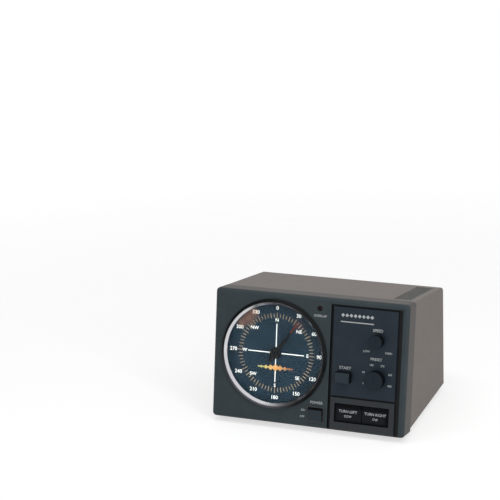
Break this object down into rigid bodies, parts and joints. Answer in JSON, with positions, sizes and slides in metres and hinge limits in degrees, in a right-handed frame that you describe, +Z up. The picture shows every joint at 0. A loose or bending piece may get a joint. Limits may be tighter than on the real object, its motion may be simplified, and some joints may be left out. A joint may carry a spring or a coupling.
{
  "type": "antenna rotator controller",
  "caption": "Bench controller for an antenna rotator: a leaning front with a round compass dial and geared pointer, knobs, keys and a power rocker on a steel cabinet.",
  "frame": {"origin": "middle of the bounding box on the surface that the feet stand on", "axes": "+X to the right of someone facing the dial, +Y to the rear, +Z up"},
  "size_m": [0.2, 0.174, 0.1348],
  "materials": {
    "bezel_plastic": "fine texture",
    "plate_paint": "satin",
    "key_plastic": "polished",
    "button_plastic": "satin",
    "knob_plastic": "satin",
    "ring_plastic": "polished",
    "lens_plastic": "clear",
    "dial_print": "printed",
    "pointer_plastic": "satin",
    "white_plastic": "moulded",
    "lamp_glass": "clear",
    "led_lens": "clear",
    "shaft_steel": "ground",
    "gear_brass": "cut",
    "gear_nylon": "moulded",
    "plated_steel": "zinc plated",
    "motor_steel": "plated",
    "pot_metal": "stamped",
    "switch_plastic": "moulded",
    "board_laminate": "lacquered",
    "screw_steel": "zinc plated",
    "cover_screw_steel": "black zinc",
    "cover_paint": "fine texture",
    "rear_paint": "satin",
    "foot_rubber": "moulded",
    "core_steel": "varnished",
    "winding_tape": "taped",
    "capacitor_sleeve": "shrunk sleeve",
    "relay_case": "moulded",
    "sink_aluminium": "black anodised",
    "chip_plastic": "moulded",
    "connector_nylon": "moulded",
    "socket_plate": "nickel plated"
  },
  "bodies": {
    "cabinet": {"board_connectors": "connector_nylon", "board_screws": "screw_steel", "board_standoffs": "screw_steel", "chassis_base": "plated_steel", "chassis_screws": "screw_steel", "control_board": "board_laminate", "control_plate": "plate_paint", "control_pots": "pot_metal", "cord_bush": "switch_plastic", "cover_screws": "cover_screw_steel", "dial_lamps": "lamp_glass", "dial_lens": "lens_plastic", "dial_plate": "dial_print", "dial_ring": "ring_plastic", "feedback_pot": "pot_metal", "filter_capacitors": "capacitor_sleeve", "front_bezel": "bezel_plastic", "fuse_holder": "switch_plastic", "ground_terminal": "socket_plate", "heat_sink": "sink_aluminium", "indicator_frame": "plated_steel", "indicator_motor": "motor_steel", "indicator_screws": "screw_steel", "key_frame": "bezel_plastic", "light_box": "white_plastic", "main_board": "board_laminate", "motor_relays": "relay_case", "overlap_led": "led_lens", "pointer_bushing": "gear_brass", "power_switch": "switch_plastic", "power_transistors": "chip_plastic", "push_switches": "switch_plastic", "rear_panel": "rear_paint", "remote_jack": "switch_plastic", "rotator_socket": "socket_plate", "rubber_feet": "foot_rubber", "subpanel": "plated_steel", "top_cover": "cover_paint", "transformer_bracket": "plated_steel", "transformer_core": "core_steel", "transformer_winding": "winding_tape", "trimmer_pots": "pot_metal"},
    "pointer_works": {"pointer": "pointer_plastic", "pointer_shaft": "shaft_steel", "pointer_gear": "gear_brass"},
    "motor_drive": {"motor_shaft": "shaft_steel", "motor_pinion": "gear_brass"},
    "feedback_drive": {"feedback_shaft": "shaft_steel", "feedback_gear": "gear_nylon"},
    "speed_control": {"speed_knob": "knob_plastic", "speed_shaft": "shaft_steel"},
    "preset_control": {"preset_knob": "knob_plastic", "preset_shaft": "shaft_steel"},
    "rocker": {"power_rocker": "button_plastic"},
    "start_push": {"start_button": "button_plastic"},
    "left_push": {"left_key": "key_plastic"},
    "right_push": {"right_key": "key_plastic"},
    "full_scale_screw": {"full_scale_trimmer": "white_plastic"},
    "offset_screw": {"offset_trimmer": "white_plastic"},
    "fuse_plug": {"fuse_cap": "switch_plastic"}
  },
  "joints": [
    {"name": "pointer_turn", "type": "hinge", "parent": "cabinet", "child": "pointer_works", "pos_m": [-0.0359, -0.07279, 0.07494], "axis": [0, 0.9877, -0.1564], "range_deg": [-35, 415]},
    {"name": "pinion_turn", "type": "hinge", "parent": "cabinet", "child": "motor_drive", "pos_m": [-0.0359, -0.0706, 0.08877], "axis": [0, 0.9877, -0.1564], "range_deg": [-1039, 89]},
    {"name": "feedback_turn", "type": "hinge", "parent": "cabinet", "child": "feedback_drive", "pos_m": [-0.0359, -0.07646, 0.05173], "axis": [0, 0.9877, -0.1564], "range_deg": [-309, 27]},
    {"name": "speed_turn", "type": "hinge", "parent": "cabinet", "child": "speed_control", "pos_m": [0.07, -0.06908, 0.09835], "axis": [0, 0.9877, -0.1564], "range_deg": [-150, 150]},
    {"name": "preset_turn", "type": "hinge", "parent": "cabinet", "child": "preset_control", "pos_m": [0.07, -0.07499, 0.06101], "axis": [0, 0.9877, -0.1564], "range_deg": [-150, 150]},
    {"name": "rocker_tilt", "type": "hinge", "parent": "cabinet", "child": "rocker", "pos_m": [0.0096, -0.07855, 0.01936], "axis": [-1, 0, 0], "range_deg": [0, 14]},
    {"name": "start_press", "type": "slide", "parent": "cabinet", "child": "start_push", "axis": [0, 0.9877, -0.1564], "range_m": [0, 0.0015], "stiffness_N_per_m": 400, "springref_m": -0.001},
    {"name": "left_press", "type": "slide", "parent": "cabinet", "child": "left_push", "axis": [0, 0.9877, -0.1564], "range_m": [0, 0.0012], "stiffness_N_per_m": 400, "springref_m": -0.001},
    {"name": "right_press", "type": "slide", "parent": "cabinet", "child": "right_push", "axis": [0, 0.9877, -0.1564], "range_m": [0, 0.0012], "stiffness_N_per_m": 400, "springref_m": -0.001},
    {"name": "full_scale_turn", "type": "hinge", "parent": "cabinet", "child": "full_scale_screw", "pos_m": [-0.05, 0.07096, 0.07284], "axis": [0, 0.9976, 0.0698], "range_deg": [-150, 150]},
    {"name": "offset_turn", "type": "hinge", "parent": "cabinet", "child": "offset_screw", "pos_m": [-0.028, 0.07096, 0.07284], "axis": [0, 0.9976, 0.0698], "range_deg": [-150, 150]},
    {"name": "fuse_cap_turn", "type": "hinge", "parent": "cabinet", "child": "fuse_plug", "pos_m": [0.042, 0.07389, 0.03094], "axis": [0, 0.9976, 0.0698], "range_deg": [0, 90]}
  ],
  "couplings": [
    {"joint": "pinion_turn", "follows": "pointer_turn", "ratio": -2.5},
    {"joint": "feedback_turn", "follows": "pointer_turn", "ratio": -0.74074}
  ]
}
